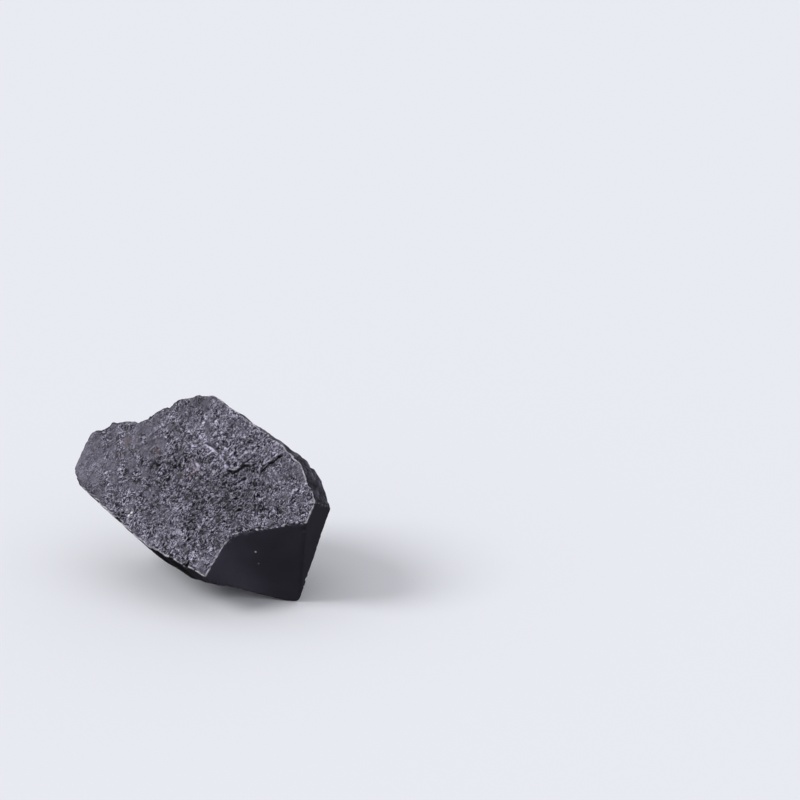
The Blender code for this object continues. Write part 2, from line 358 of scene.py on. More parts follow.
def box_lattice(cells):
    """The closed grid on the six sides of a box: whole-number points (0 to the number of cells
    along each axis) and quads that face outwards."""
    corners = []
    for axis in range(3):
        first, second = (axis + 1) % 3, (axis + 2) % 3
        p, q = np.meshgrid(np.arange(cells[first]), np.arange(cells[second]), indexing="ij")
        for side in (0, cells[axis]):
            ring = [(0, 0), (1, 0), (1, 1), (0, 1)]
            block = np.empty((p.size, 4, 3), int)
            for place, (step_p, step_q) in enumerate(ring if side else ring[::-1]):
                block[:, place, axis] = side
                block[:, place, first] = p.ravel() + step_p
                block[:, place, second] = q.ravel() + step_q
            corners.append(block)
    corners = np.concatenate(corners)
    points, index = np.unique(corners.reshape(-1, 3), axis=0, return_inverse=True)
    return points, index.reshape(-1, 4)


def line_marks(across, up, path):
    """Place of each point beside a broken line: its distance from the line, more than 0 on the
    left and less on the right, and a fade that is 0 at the line's ends and 1 in its middle part."""
    path = TENTH * np.array(path)
    lengths = np.linalg.norm(np.diff(path, axis=0), axis=1)
    starts = np.concatenate([[0.0], np.cumsum(lengths)])
    nearest = np.full(len(across), FAR)
    side = np.zeros(len(across))
    along = np.zeros(len(across))
    for n, length in enumerate(lengths):
        way = (path[n + 1] - path[n]) / length
        du, dv = across - path[n, 0], up - path[n, 1]
        run = np.clip(du * way[0] + dv * way[1], 0.0, length)
        distance = np.hypot(du - run * way[0], dv - run * way[1])
        closer = distance < nearest
        nearest = np.where(closer, distance, nearest)
        side = np.where(closer, way[0] * dv - way[1] * du, side)
        along = np.where(closer, (starts[n] + run) / starts[-1], along)
    fade = smooth_step(0.0, LINE_FADE, along) * smooth_step(0.0, LINE_FADE, 1.0 - along)
    return np.where(side > 0.0, nearest, -nearest), fade


def step_relief(across, up, height, reach, bright, dark, path):
    """A thin broken layer: on the left of the line the surface is higher by `height`, which sinks
    to nothing over `reach`, and a narrow groove runs along its foot. Also the painted highlight on
    its lip and the painted shade in its groove, and how much the grain dies out beside them."""
    beside, fade = line_marks(across, up, path)
    raised = smooth_step(-STEP_HALF, STEP_HALF, beside) * np.exp(-np.maximum(beside, 0.0) / reach)
    groove = bell(beside - GROOVE_PLACE, GROOVE_WIDTH)
    lip = bell(beside - LIP_PLACE, LIP_WIDTH)
    near = fade * bell(beside, CALM_WIDTH) * min((bright + dark) / CALM_FROM, 1.0)
    light = fade * (bright * lip - dark * groove)
    return fade * height * (raised - GROOVE_DEPTH * groove), light, near


def patch_sum(across, up, patches):
    """Sum of round patches, each a bell curve: strength exp(-distance^2 / (2 radius^2))."""
    total = np.zeros(len(across))
    for *place, strength in patches:
        u, v, radius = TENTH * np.array(place)
        total += strength * np.exp(-((across - u) ** 2 + (up - v) ** 2) / (2.0 * radius ** 2))
    return total


def slanted(points):
    """Points drawn together along the slant of the crust's grain, so that waves run long there."""
    return points - GRAIN_DRAWN * (points @ GRAIN_WAY)[:, None] * GRAIN_WAY


def calm_share(across, up):
    """1 on the smooth left part of the crust, and 0 on its grainy part."""
    return 1.0 - smooth_step(*CALM_SPAN, across + CALM_SLANT * up)


def crust_grain(points, settings):
    """The broken layers' height, the crust's grain, the painted highlight and painted shade along
    the layers' lines, and how much the grain stands out. The grain, about -2 to 2, has crooked
    worms, dark pits and sparse specks, is softer on the left and dies out beside the layers, whose
    lines are broken up. It sets both height and colour, so its colour holds painted shade in the
    pits and painted highlights on the specks."""
    across, up = crust_place(points)
    size = settings.grain_size
    worms = waves(slanted(points), "worms", size, WORM_BAND)
    worms *= 0.5 + np.abs(worms)
    pitted = PITTED_ALL_OVER + patch_sum(across, up, PITTED_PATCHES)
    pits = pitted * np.maximum(waves(points, "pits", size) - PIT_START, 0.0)
    specky = SPECKY_ALL_OVER + patch_sum(across, up, SPECKY_PATCHES)
    specks = specky * np.maximum(waves(points, "specks", size) - SPECK_START, 0.0)
    rugged = MEAN_RUGGED * 2.0 ** waves(points, "ruggedness")
    rugged = np.maximum(rugged + patch_sum(across, up, RUGGED_PATCHES), LEAST_RUGGED)
    rugged *= 1.0 - LEFT_CALM * calm_share(across, up)
    crooked_across = across + waves(points, "crooked_across")
    crooked_up = up + waves(points, "crooked_up")
    breaks = 1.0 + waves(points, "long_breaks") + waves(points, "short_breaks")
    breaks = np.clip(breaks, *BREAK_RANGE)
    near, lines, steps = (np.zeros(len(points)) for _ in range(3))
    for facts in CRUST_STEPS.values():
        step, line, close = step_relief(crooked_across, crooked_up, *facts)
        steps += step
        lines += line * breaks
        near = np.maximum(near, close)
    rugged *= 1.0 - STEP_CALM * near
    grain = WORM_STRENGTH * worms - PIT_STRENGTH * pits + SPECK_STRENGTH * specks
    return steps, rugged * grain, lines, rugged


def crust_relief(points, settings):
    """Swells of the crust, its notches, its thin broken layers, and its grain, and the lightness of
    its colour, with painted shade in the pits and grooves and painted highlights on the specks and
    lips.
    """
    place = crust_place(points)
    notches = patch_sum(*place, NOTCHES)
    steps, grain, lines, _rugged = crust_grain(points, settings)
    relief = patch_sum(*place, CRUST_SWELLS) + steps + notches
    relief += settings.grain_height * GRAIN_RISE * np.clip(grain, *GRAIN_RANGE)
    return relief, grain + lines + NOTCH_DARKNESS * notches


def rim_relief(points):
    """The worn left rim: a soft grain."""
    small = waves(points, "rim_small") + waves(points, "rim_smaller")
    return SMALL_HEIGHTS["rim"] * small, small


def worn_relief(points):
    """Scalloped breaks of the nose: rounded lobes that meet in creases, with a soft grain."""
    lobes = LOBE_HEIGHT * (np.abs(waves(points, "lobes")) - LOBE_MEAN)
    small = waves(points, "worn_small")
    return lobes + SMALL_HEIGHTS["worn"] * small, small


def rough_relief(points):
    """Hackly breaks: thin terraces, each a step in a slow wave, under a sharp grain."""
    slow = waves(points, "terraces")
    steps = np.floor(slow) + smooth_step(*TERRACE_FACE, slow - np.floor(slow)) - slow
    small = RIDGE_LIGHT * (bell(waves(points, "rough_small"), RIDGE_WIDTH) - 0.5)
    return TERRACE_HEIGHT * steps + SMALL_HEIGHTS["rough"] * small, small


def strip_relief(points):
    """The narrow side strip: short ribs across it and a sharp grain. It is lighter higher up."""
    small = waves(points * RIB_STRETCH, "ribs") + waves(points, "strip_small")
    higher = smooth_step(*STRIP_SPAN, crust_place(points)[1])
    return SMALL_HEIGHTS["strip"] * small, small + STRIP_LIGHT[0] + STRIP_LIGHT[1] * higher


def smooth_relief(points, lumps):
    """Shell-like breaks: faint ripples round the point of the blow, and low lumps."""
    reach = np.linalg.norm(points - RIPPLE_SOURCE, axis=1)
    ripple = np.sin(2.0 * math.pi * reach / RIPPLE_SIZE)
    # Painted shading: lighter on the crests of the ripples and lumps and darker in their troughs;
    # the swells are a random tone.
    light = RIPPLE_LIGHT * ripple + LUMP_LIGHT * lumps + waves(points, "swells")
    return SMALL_HEIGHTS["smooth"] * ripple, light


def relief_of(points, settings):
    """Height of every finish at each point, and how much lighter its small part is, as a power of
    two. That lightness follows the small relief, so it is partly each finish's own tone and partly
    painted shade in the hollows and painted highlight on the tops."""
    nothing = np.zeros(len(points))
    lumps, coarse = waves(points, "lumps"), waves(points, "coarse_grain")
    made = dict.fromkeys(FINISHES, (nothing, nothing)) | {
        "crust": crust_relief(points, settings), "rim": rim_relief(points),
        "worn": worn_relief(points), "rough": rough_relief(points),
        "strip": strip_relief(points), "smooth": smooth_relief(points, lumps),
    }
    whole = [low * lumps + fine * coarse + made[name][0] for name, (low, fine) in FINISHES.items()]
    return np.array(whole), np.array([made[name][1] for name in FINISHES])


def plane_exit(starts, ways, normal, distance):
    """Distance along each way to the plane, or FAR where the way does not leave through it."""
    speed = ways @ normal
    leaves = speed > 1e-4
    exits = (distance - starts @ normal) / np.where(leaves, speed, 1.0)
    return np.where(leaves, np.minimum(exits, FAR), FAR)


def later_of(first, second, roundness):
    """The larger of two distances, with the change from one to the other rounded."""
    near = np.maximum(roundness - np.abs(first - second), 0.0) / roundness
    return np.maximum(first, second) + near * near * roundness / 4.0


def ball_entry(starts, ways, centre, radius):
    """Distance along each way to the ball, or FAR where the way misses it."""
    towards = centre - starts
    middle = np.einsum("ij,ij->i", towards, ways)
    gap = middle ** 2 - (np.einsum("ij,ij->i", towards, towards) - radius ** 2)
    meets = (gap > 0.0) & (middle > 0.0)
    return np.where(meets, middle - np.sqrt(np.maximum(gap, 0.0)), FAR)


def outline_reach(turns):
    """How far the crust's plane reaches from the box's middle in each direction of that plane,
    before it meets a face other than the crust and its worn rim."""
    starts = np.tile([*BOX_MIDDLE[:2], CLEAVAGE_FACES["crust"][2]], (len(turns), 1))
    ways = np.stack([np.cos(turns), np.sin(turns), np.zeros(len(turns))], axis=1)
    heights = np.zeros((len(FINISHES), len(turns)))
    exits, _normals, finishes = exit_table(starts @ CRUST_FRAME, ways @ CRUST_FRAME, heights)
    return exits[~is_grey(finishes)].min(axis=0)


def is_finish(finishes, *names):
    """Whether each finish is one of those named."""
    return np.isin(finishes, [FINISH_ORDER.index(name) for name in names])


def is_grey(finishes):
    """Whether each finish is the grey crust or its rim."""
    return is_finish(finishes, "crust", "rim")


def exit_table(starts, ways, heights):
    """Distance to every face, chip and scoop along each way, with the face's normal and finish."""
    rows, normals, finishes = [], [], []

    def add(finish, row, normal):
        rows.append(row)
        normals.append(np.broadcast_to(normal, starts.shape))
        finishes.append(FINISH_ORDER.index(finish))

    height_of = dict(zip(FINISHES, heights))
    for turn, rise, distance, finish in CLEAVAGE_FACES.values():
        normal = unit(turn, rise)
        add(finish, plane_exit(starts, ways, normal, distance + height_of[finish]), normal)
    for first, second, roundness, finish in CHIPS.values():
        one, two = (
            plane_exit(starts, ways, unit(turn, rise), distance + height_of[finish])
            for turn, rise, distance in (first, second)
        )
        normal = np.where((one > two)[:, None], unit(*first[:2]), unit(*second[:2]))
        add(finish, later_of(one, two, roundness), normal)
    for turn, rise, distance, radius, finish in SHELL_SCOOPS.values():
        normal = unit(turn, rise)
        centre = normal * (distance + radius)
        add(finish, ball_entry(starts, ways, centre, radius - height_of[finish]), normal)
    return np.array(rows), np.array(normals), np.array(finishes)


def nearest_faces(exits, normals):
    """The two faces that each way meets first, the distance to the first, how far from there
    their edge is, and how sharp it is, 0 to 1."""
    each = np.arange(exits.shape[1])
    order = np.argsort(exits, axis=0)[:2]
    least, second = exits[order[0], each], exits[order[1], each]
    turn = np.einsum("ij,ij->i", normals[order[0], each], normals[order[1], each])
    bend = np.sqrt(np.clip(1.0 - turn ** 2, 0.0, 1.0))
    to_edge = (second - least) / np.maximum(bend, LEAST_BEND)
    return order, least, to_edge, smooth_step(*EDGE_TURN, turn)


def chip_depth(points):
    """How deep the small chips along the edges are, as a share: blunt random notches in some
    stretches, deepest along the lower edges of the crust, and none where the stone rests."""
    notches = np.maximum(waves(points, "chips") - CHIP_START, 0.0)
    stretches = CHIPPED_ALL_OVER + np.maximum(waves(points, "chipped_stretches"), 0.0)
    low_down = smooth_step(*LOW_SPAN, crust_place(points)[1])
    on_ground = smooth_step(*GROUND_SPAN, points[:, 2])
    return notches * stretches * (HIGH_CHIPS + (1.0 - HIGH_CHIPS) * low_down) * on_ground


def stone_surface(settings):
    """Points of the stone's surface on the box lattice.

    The box is drawn to the crust's outline, so that its upper rim runs along the crust's edge:
    a point at share m of the way to the rim in direction a stands at m R(a). A way starts at a
    point of a flat core inside the stone and goes through its point of the box. It leaves the
    stone where it first passes a face: s = m - e log(sum(exp(-(s_i - m) / e))), where s_i are the
    distances to the faces, m the least of them and e the rounding of the edges. Near an edge it
    ends sooner by the depth of the chips. Each face is moved out by the relief of its finish,
    worked out where the last pass ended, and R is corrected by how much sooner the way through the
    rim passes one of the two faces than the other."""
    lattice, quads = box_lattice(LATTICE_CELLS)
    share = 2.0 * lattice / np.array(LATTICE_CELLS) - 1.0
    from_middle = np.abs(share[:, :2]).max(axis=1)
    turns = np.arctan2(share[:, 1] * BOX_HALF[1], share[:, 0] * BOX_HALF[0])
    rim = np.flatnonzero((lattice[:, 2] == LATTICE_CELLS[2]) & (from_middle == 1.0))
    rim = rim[np.argsort(turns[rim])]
    first_reach = rim_reach = outline_reach(turns[rim])
    cos, sin = np.cos(turns), np.sin(turns)
    plain_reach = 1.0 / np.maximum(np.abs(cos) / BOX_HALF[0], np.abs(sin) / BOX_HALF[1])
    by_outline = smooth_step(*OUTLINE_SPAN, share[:, 2])
    heights = np.zeros((len(FINISHES), len(lattice)))
    for _pass in range(PASSES):
        drawn_reach = np.interp(turns, turns[rim], rim_reach, period=2.0 * math.pi)
        out = from_middle * (plain_reach + by_outline * (drawn_reach - plain_reach))
        placed = np.stack([out * cos, out * sin, BOX_HALF[2] * share[:, 2]], axis=1)
        starts = CORE_MIDDLE + CORE_SHARE * placed
        ways = BOX_MIDDLE + placed - starts
        ways /= np.linalg.norm(ways, axis=1)[:, None]
        starts, ways = starts @ CRUST_FRAME, ways @ CRUST_FRAME
        exits, normals, finishes = exit_table(starts, ways, heights)
        order, least, to_edge, sharpness = nearest_faces(exits, normals)
        pair = finishes[order]
        by_crust = is_grey(pair).any(axis=0)
        rounding = np.where(by_crust, settings.crust_edge_radius, settings.edge_radius)
        weights = np.exp(-(exits - least) / rounding)
        reach = least - rounding * np.log(weights.sum(axis=0))
        points = HEART + starts + ways * reach[:, None]
        plain = is_finish(pair, "plain")
        scooped = by_crust & plain.any(axis=0) & (ways @ CRUST_FRAME[0] < CHIPPED_SCOOP_END)
        ragged = waves(points, "ragged")
        chips = np.where(plain.all(axis=0), CLEAN_CHIPS, np.where(scooped, SCOOP_CHIPS, 1.0))
        chips = chip_depth(points) * chips
        chips += np.where(scooped, TEETH * np.maximum(ragged - TEETH_START, 0.0), 0.0)
        reach -= settings.nick_depth * sharpness * chips * np.exp(-to_edge / CHIP_WIDTH)
        points = HEART + starts + ways * reach[:, None]
        heights, small = relief_of(points, settings)
        grey = is_grey(finishes)
        later = exits[grey].min(axis=0)[rim] - exits[~grey].min(axis=0)[rim]
        change = rim_reach - np.clip(RIM_SHARE * later, -RIM_STEP, RIM_STEP) - first_reach
        rim_reach = first_reach + ring_mean(np.clip(change, -RIM_CHANGE, RIM_CHANGE))
    weights /= weights.sum(axis=0)
    shares = np.array([weights[is_finish(finishes, name)].sum(axis=0) for name in FINISHES])
    share_of = dict(zip(FINISHES, shares))
    points[:, 2] = np.maximum(points[:, 2], 0.0)
    beyond = normals[np.where(is_grey(pair)[0], order[1], order[0]), np.arange(len(points))]
    marks, torn, inside = edge_marks(pair, beyond, to_edge, sharpness, ragged, settings.edge_band_width)
    marks["grey"] = np.where(torn, inside, share_of["crust"]) + share_of["rim"]
    marks["rough_share"] = share_of["rough"] + share_of["worn"] + share_of["strip"]
    # Painted shading of the small relief of every finish, lighter on its tops and darker in its
    # hollows, with each finish's own tone.
    marks["light"] = (shares * small).sum(axis=0)
    place = crust_place(points)
    for name, patches in (("tone", TONE_PATCHES), ("break_light_and_shade", BREAK_LIGHT_AND_SHADE), ("stain", STAINS)):
        marks[name] = patch_sum(*place, patches)
    marks["rugged"] = crust_grain(points, settings)[3]
    return points, quads, marks


def edge_marks(pair, beyond, to_edge, sharpness, ragged, edge_band_width):
    """How rubbed each point near an edge is, together with the painted highlight along the edge,
    how much painted shade lies along the crust's far rim, and the ragged edge of the crust along
    the front scoop: where it is torn, and which points there are still crust. `pair` holds the
    finishes of the two nearest faces and `beyond` the normal of the one that is not the crust."""
    grey = is_grey(pair)
    by_crust, on_crust = grey.any(axis=0), grey[0]
    along, rise = (beyond @ CRUST_FRAME[:2].T).T
    far_rim = by_crust & (along < FAR_RIM[0]) & (rise > FAR_RIM[1])
    other = np.where(on_crust, pair[1], pair[0])
    scooped = by_crust & is_finish(other, "plain") & (along < SCOOP_END)
    hackly = is_finish(pair, "rough", "strip").any(axis=0)
    clean = is_finish(pair, "plain").all(axis=0)
    rub_and_highlight = np.where(hackly, RUB_AND_HIGHLIGHT["hackly"], np.where(clean, RUB_AND_HIGHLIGHT["clean"], RUB_AND_HIGHLIGHT["other"]))
    rub_and_highlight *= np.clip(0.9 + 0.5 * ragged, 0.5, 1.2)
    crust_rub_and_highlight = np.where(hackly, RUB_AND_HIGHLIGHT["crust_hackly"], RUB_AND_HIGHLIGHT["crust"])
    rub_and_highlight = np.where(by_crust, crust_rub_and_highlight * np.clip(1.0 + ragged, 0.4, 1.4), rub_and_highlight)
    worst = TORN_RUB_AND_HIGHLIGHT * np.maximum(-ragged - TORN_START, 0.0)
    rub_and_highlight = np.where(scooped, RUB_AND_HIGHLIGHT["scoop"] + worst, rub_and_highlight)
    width = np.where(on_crust, np.where(scooped, RUB_AND_HIGHLIGHT_WIDTH["scoop"], RUB_AND_HIGHLIGHT_WIDTH["crust"]), RUB_AND_HIGHLIGHT_WIDTH["by_crust"])
    width = np.where(by_crust, width, 1.0)
    # The edge mark is rubbed wear together with painted highlights along the edges; the shade mark
    # is painted shade along the crust's far rim.
    marks = {
        "edge_rub_and_highlight": sharpness * np.exp(-to_edge / width / edge_band_width) * np.where(far_rim, 0.0, rub_and_highlight),
        "shade": sharpness * np.exp(-to_edge / edge_band_width) * far_rim,
    }
    inside = np.where(on_crust, to_edge, -to_edge) + TORN_DEPTH * ragged > 0.0
    return marks, scooped & (to_edge < TORN_REACH), inside


def ring_mean(values):
    """Each value of a closed ring averaged with its two neighbours, twice."""
    for _pass in range(2):
        values = 0.25 * np.roll(values, 1) + 0.5 * values + 0.25 * np.roll(values, -1)
    return values


def split_quads(points, quads):
    """Cut each quad along the diagonal that makes the flatter pair of triangles."""
    a, b, c, d = (points[quads[:, n]] for n in range(4))

    def fold(first, second):
        first /= np.maximum(np.linalg.norm(first, axis=1), 1e-15)[:, None]
        second /= np.maximum(np.linalg.norm(second, axis=1), 1e-15)[:, None]
        return np.einsum("ij,ij->i", first, second)

    across_ac = fold(np.cross(b - a, c - a), np.cross(c - a, d - a))
    across_bd = fold(np.cross(c - b, d - b), np.cross(d - b, a - b))
    use_ac = (across_ac >= across_bd)[:, None]
    one = np.where(use_ac, quads[:, [0, 1, 2]], quads[:, [1, 2, 3]])
    two = np.where(use_ac, quads[:, [0, 2, 3]], quads[:, [1, 3, 0]])
    return np.concatenate([one, two])


def mesh_from(name, points, triangles, marks):
    """A mesh of the triangles, smooth but for its sharp edges, with one number per point or per
    triangle for each mark."""
    mesh = bpy.data.meshes.new(name)
    mesh.from_pydata(points.tolist(), [], triangles.tolist(), shade_flat=False)
    for mark, values in marks.items():
        domain = "POINT" if len(values) == len(points) else "FACE"
        layer = mesh.attributes.new(mark, "FLOAT", domain)
        layer.data.foreach_set("value", values.astype(np.float32))
    mesh.validate()
    mesh.set_sharp_from_angle(angle=math.radians(50.0))
    return mesh


# Materials


class NodeDesk:
    """Short ways to add and join the nodes of one tree."""

    def __init__(self, tree):
        self.tree = tree

    def put(self, socket, value):
        if isinstance(value, bpy.types.NodeSocket):
            self.tree.links.new(value, socket)
        else:
            socket.default_value = value

    def node(self, kind, values=None, **settings):
        made = self.tree.nodes.new(kind)
        for name, value in settings.items():
            setattr(made, name, value)
        for key, value in (values or {}).items():
            self.put(made.inputs[key], value)
        return made

    def math(self, operation, *values):
        made = self.node("ShaderNodeMath", dict(enumerate(values)), operation=operation)
        return made.outputs[0]

    def plus(self, first, second):
        return self.math("ADD", first, second)

    def power(self, value):
        return self.math("POWER", 2.0, value)

    def times(self, first, second):
        return self.math("MULTIPLY", first, second)

    def times_plus(self, first, second, third):
        return self.math("MULTIPLY_ADD", first, second, third)

    def mix(self, share, first, second):
        values = {0: share, 6: first, 7: second}
        return self.node("ShaderNodeMix", values, data_type="RGBA", clamp_factor=True).outputs[2]

    def span(self, value, low, high, to_low=0.0, to_high=1.0):
        values = {"Value": value, "From Min": low, "From Max": high}
        values |= {"To Min": to_low, "To Max": to_high}
        made = self.node("ShaderNodeMapRange", values, interpolation_type="SMOOTHSTEP")
        return made.outputs["Result"]

    def scale(self, colour, factor):
        values = {0: colour, "Scale": factor}
        return self.node("ShaderNodeVectorMath", values, operation="SCALE").outputs[0]

    def mark(self, name):
        made = self.node("ShaderNodeAttribute", attribute_type="GEOMETRY", attribute_name=name)
        return made.outputs["Fac"]

    def noise(self, vector, scale, detail, roughness, distortion=0.0):
        values = {"Vector": vector, "Scale": scale, "Detail": detail}
        values |= {"Roughness": roughness, "Distortion": distortion}
        return self.node("ShaderNodeTexNoise", values).outputs["Fac"]

    def group(self, tree, **values):
        return self.node("ShaderNodeGroup", node_tree=tree, values=values).outputs


def new_group(name, inputs, outputs):
    """A shader node group with the given sockets: its desk, its inputs and its output sockets."""
    tree = bpy.data.node_groups.new(name, "ShaderNodeTree")
    for way, sockets in (("INPUT", inputs), ("OUTPUT", outputs)):
        for socket, kind in sockets.items():
            tree.interface.new_socket(name=socket, in_out=way, socket_type=kind)
    desk = NodeDesk(tree)
    return desk, desk.node("NodeGroupInput").outputs, desk.node("NodeGroupOutput").inputs


FLOAT, VECTOR, COLOUR = "NodeSocketFloat", "NodeSocketVector", "NodeSocketColor"


def fine_grain_group():
    """Grain finer than the mesh: crooked ridges where a twisted noise crosses its middle, over a
    finer noise. Puts out the height and a mask of the ridges' tops."""
    desk, given, out = new_group(
        "fine_grain",
        {"Vector": VECTOR, "Scale": FLOAT, "Twist": FLOAT},
        {"Height": FLOAT, "Tops": FLOAT},
    )
    field = desk.noise(given["Vector"], given["Scale"], 2.0, 0.5, given["Twist"])
    ridge = desk.span(desk.math("ABSOLUTE", desk.math("SUBTRACT", field, 0.5)), 0.12, 0.0)
    finer = desk.noise(given["Vector"], desk.times(given["Scale"], 2.7), 2.0, 0.6)
    desk.put(out["Height"], desk.plus(desk.times(ridge, 0.65), desk.times(finer, 0.35)))
    desk.put(out["Tops"], desk.times(ridge, desk.span(finer, 0.4, 0.7)))
    return desk.tree


def rubbed_edge_highlight_group():
    """Where an edge is rubbed or chipped and brightened by a painted highlight: the edge mark,
    broken up by a noise.
    """
    sockets = {"Vector": VECTOR, "Edge": FLOAT, "Scale": FLOAT}
    desk, given, out = new_group("rubbed_edge_highlight", sockets, {"Mask": FLOAT})
    broken = desk.span(desk.noise(given["Vector"], given["Scale"], 3.0, 0.6), 0.36, 0.6)
    near = desk.span(given["Edge"], 0.3, 0.8)
    desk.put(out["Mask"], desk.times(near, desk.times_plus(broken, 0.4, 0.6)))
    return desk.tree


def tone_patches_group():
    """A colour that drifts between two tones in soft patches, with smaller ones inside them."""
    sockets = {"Vector": VECTOR, "Scale": FLOAT, "Darker": COLOUR, "Lighter": COLOUR}
    desk, given, out = new_group("tone_patches", sockets, {"Color": COLOUR})
    share = desk.span(desk.noise(given["Vector"], given["Scale"], 5.0, 0.62, 0.4), 0.3, 0.7)
    desk.put(out["Color"], desk.mix(share, given["Darker"], given["Lighter"]))
    return desk.tree


def pale_speck_group():
    """A round speck: 1 within four tenths of the radius round its centre and 0 outside it."""
    sockets = {"Vector": VECTOR, "Centre": VECTOR, "Radius": FLOAT}
    desk, given, out = new_group("pale_speck", sockets, {"Mask": FLOAT})
    ends = {0: given["Vector"], 1: given["Centre"]}
    reach = desk.node("ShaderNodeVectorMath", ends, operation="DISTANCE").outputs["Value"]
    desk.put(out["Mask"], desk.span(desk.math("DIVIDE", reach, given["Radius"]), 1.0, 0.4))
    return desk.tree


def stone_material(settings, speck_centres):
    """Grey grainy crust, near-black breaks, rubbed edges, pale specks and faint rusty stains, with
    painted light and shade: shade in the hollows of the grain and relief, highlights on its tops
    and along the edges, a dark line along the crust's far rim, and lighter and darker patches.
    """
    material = bpy.data.materials.new("rough_shungite")
    material.use_nodes = True
    tree = material.node_tree
    tree.nodes.clear()
    desk = NodeDesk(tree)
    grain, worn = fine_grain_group(), rubbed_edge_highlight_group()
    tones, speck = tone_patches_group(), pale_speck_group()
    place = desk.node("ShaderNodeTexCoord").outputs["Object"]
    moved = {"Vector": place, "Location": (-HEART).tolist()}
    centred = desk.node("ShaderNodeMapping", moved).outputs[0]
    rise, turn = math.asin(GRAIN_WAY[2]), math.atan2(GRAIN_WAY[1], GRAIN_WAY[0])
    moved |= {"Location": HEART.tolist(), "Rotation": (0.0, -rise, turn), "Scale": WORM_STRETCH}
    drawn = desk.node("ShaderNodeMapping", moved, vector_type="TEXTURE").outputs[0]

    crust_share, rough_share = desk.mark("grey"), desk.mark("rough_share")
    rugged, light = desk.mark("rugged"), desk.mark("light")

    def shade(colour, factor):
        return [min(channel * factor, 1.0) for channel in colour[:3]] + [1.0]

    def drift(colour, scale, spread):
        ends = {"Darker": shade(colour, 1.0 - spread), "Lighter": shade(colour, 1.0 + spread)}
        return desk.group(tones, Vector=centred, Scale=scale, **ends)["Color"]

    fine_scale = settings.fine_scale
    crust_grain = desk.group(grain, Vector=centred, Scale=fine_scale, Twist=0.6)
    break_grain = desk.group(grain, Vector=centred, Scale=BREAK_GRAIN_SCALE, Twist=0.2)
    worm_lines = desk.group(grain, Vector=drawn, Scale=WORM_SCALE * fine_scale, Twist=0.8)
    crust_height = desk.times(crust_grain["Height"], 1.0 - WORM_LINE_SHARE)
    crust_height = desk.times_plus(worm_lines["Height"], WORM_LINE_SHARE, crust_height)

    # Light and dark as powers of two: the grain below the mesh, then the grain of the mesh. Both
    # follow the grain's height, so they paint shade into its hollows and highlights onto its tops,
    # over its own tone.
    fine_light = desk.math("SUBTRACT", crust_height, 0.5)
    fine_light = desk.times(fine_light, FINE_LIGHT * settings.fine_contrast)
    strong = desk.times_plus(desk.math("ABSOLUTE", fine_light), 0.6, 0.5)
    fine_light = desk.times(fine_light, strong)
    power = desk.times_plus(fine_light, rugged, desk.times(light, settings.grain_contrast))
    factor = desk.power(desk.math("MINIMUM", power, MOST_LIGHT))
    # The tone patches: the crust's own tone together with painted shading of its swells.
    factor = desk.times(factor, desk.plus(desk.mark("tone"), 1.0))
    crust_full = desk.scale(drift(settings.crust_colour, *CRUST_DRIFT), factor)
    stain = desk.span(desk.noise(centred, 420.0, 2.0, 0.55), 0.45, 0.62)
    stain = desk.times(desk.mark("stain"), stain)
    crust_full = desk.mix(desk.times(stain, 0.5), crust_full, settings.stain_colour)

    # The hackly breaks get the same painted shading of their grain and ridges.
    rough_power = desk.power(desk.times_plus(fine_light, ROUGH_FINE_LIGHT, light))
    rough_full = desk.scale(drift(settings.rough_colour, *ROUGH_DRIFT), rough_power)
    # Painted light and shade of the breaks: the patches, and the painted shading of their small
    # relief.
    smooth_light_and_shade = desk.plus(desk.mark("break_light_and_shade"), 1.0)
    smooth_light_and_shade = desk.times(smooth_light_and_shade, desk.power(light))
    smooth_full = desk.scale(drift(settings.break_colour, *BREAK_DRIFT), smooth_light_and_shade)
    colour = desk.mix(rough_share, smooth_full, rough_full)
    colour = desk.mix(crust_share, colour, crust_full)
    # Rubbed edges, lightened also as painted highlights along the edges.
    rub_and_highlight = desk.group(worn, Vector=centred, Edge=desk.mark("edge_rub_and_highlight"), Scale=WORN_SCALE)["Mask"]
    colour = desk.mix(rub_and_highlight, colour, settings.edge_rub_and_highlight_colour)
    # Painted shade: a dark line along the crust's far rim, where its edge turns away.
    shaded = desk.times(desk.span(desk.mark("shade"), 0.2, 0.7), 0.9)
    colour = desk.mix(shaded, colour, shade(settings.break_colour, 0.5))
    for centre, (_place, radius, strength) in zip(speck_centres, PALE_SPECKS):
        mask = desk.group(speck, Vector=place, Centre=centre, Radius=radius)["Mask"]
        colour = desk.mix(desk.times(mask, strength), colour, settings.glint_colour)

    gloss = desk.span(crust_grain["Tops"], 0.2, 0.9, *CRUST_ROUGHNESS)
    gloss = desk.math("SUBTRACT", gloss, BREAK_ROUGHNESS)
    roughness = desk.times_plus(crust_share, gloss, BREAK_ROUGHNESS)
    roughness = desk.times_plus(rough_share, ROUGHER, roughness)

    crust_bump = desk.times(desk.times(crust_height, rugged), crust_share)
    fine_bump = desk.times(break_grain["Height"], BREAK_BUMP)
    rough_bump = desk.times(crust_grain["Height"], rough_share)
    fine_bump = desk.times_plus(rough_bump, ROUGH_BUMP, fine_bump)
    height = desk.plus(crust_bump, fine_bump)
    bump = desk.node("ShaderNodeBump", {"Height": height, "Strength": 1.0, "Distance": BUMP_HEIGHT})
    looks = {"Base Color": colour, "Roughness": roughness, "Metallic": 0.0}
    looks |= {"Specular IOR Level": 0.13, "Normal": bump.outputs["Normal"]}
    shader = desk.node("ShaderNodeBsdfPrincipled", looks)
    desk.node("ShaderNodeOutputMaterial", {"Surface": shader.outputs[0]})
    return material


